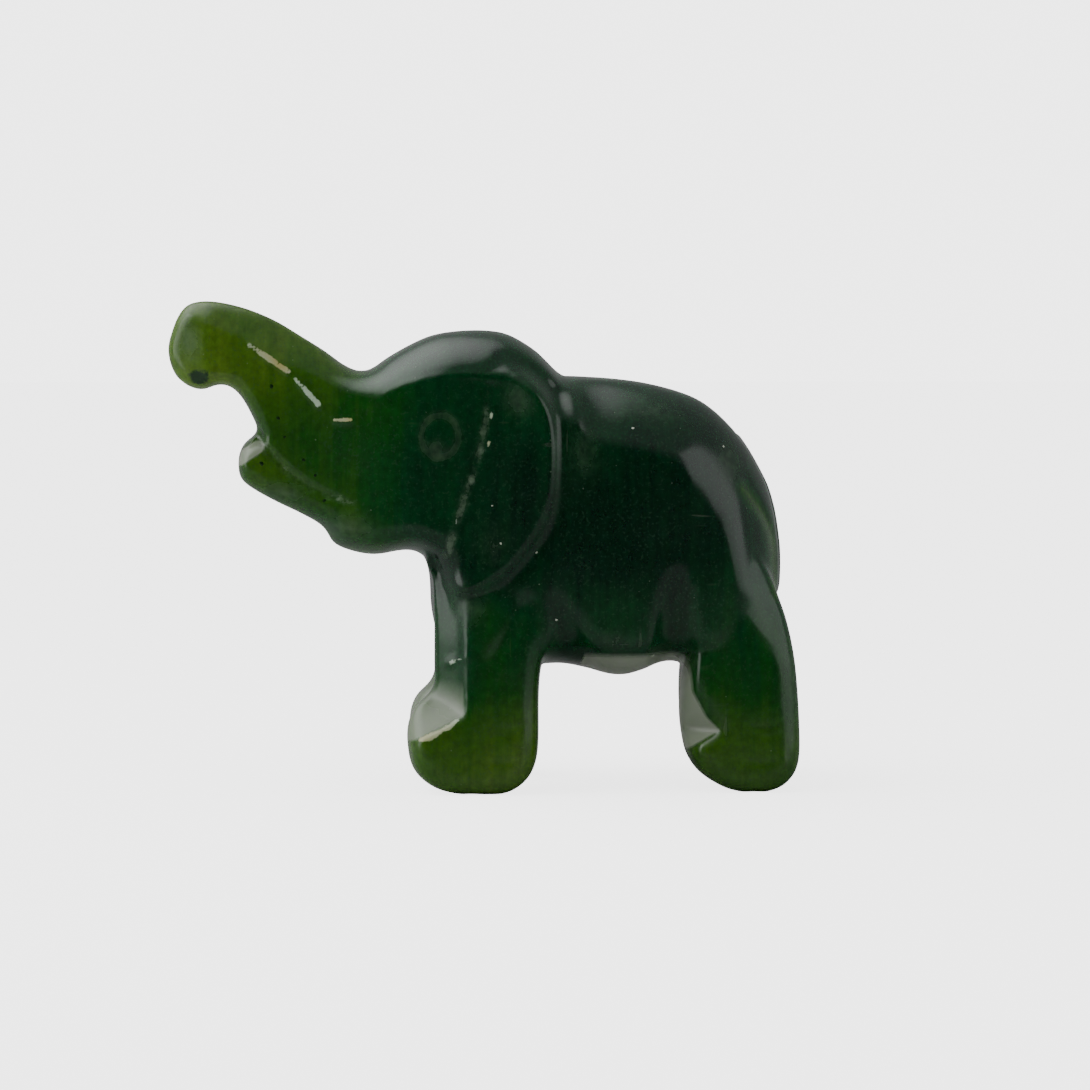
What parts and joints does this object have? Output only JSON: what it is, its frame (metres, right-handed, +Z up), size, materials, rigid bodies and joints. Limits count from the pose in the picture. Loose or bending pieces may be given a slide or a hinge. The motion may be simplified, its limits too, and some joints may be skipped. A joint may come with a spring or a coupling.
{
  "type": "carved jade elephant figurine",
  "caption": "Small polished elephant carved from one piece of dark green nephrite jade, trunk raised, standing on its own feet.",
  "frame": {"origin": "on the ground, at the middle of the bounding box", "axes": "+Z up; -X towards the head and the raised trunk, +X towards the tail; -Y towards the animal's left side"},
  "size_m": [0.0496, 0.02, 0.0387],
  "materials": {
    "nephrite": "high polish, translucent in the thin parts",
    "dark_mineral": "polished flush with the stone around it",
    "pale_mineral": "soft satin"
  },
  "bodies": {
    "root": {"carved_stone": "nephrite", "dark_grains": "dark_mineral", "pale_flecks": "pale_mineral"}
  },
  "joints": []
}
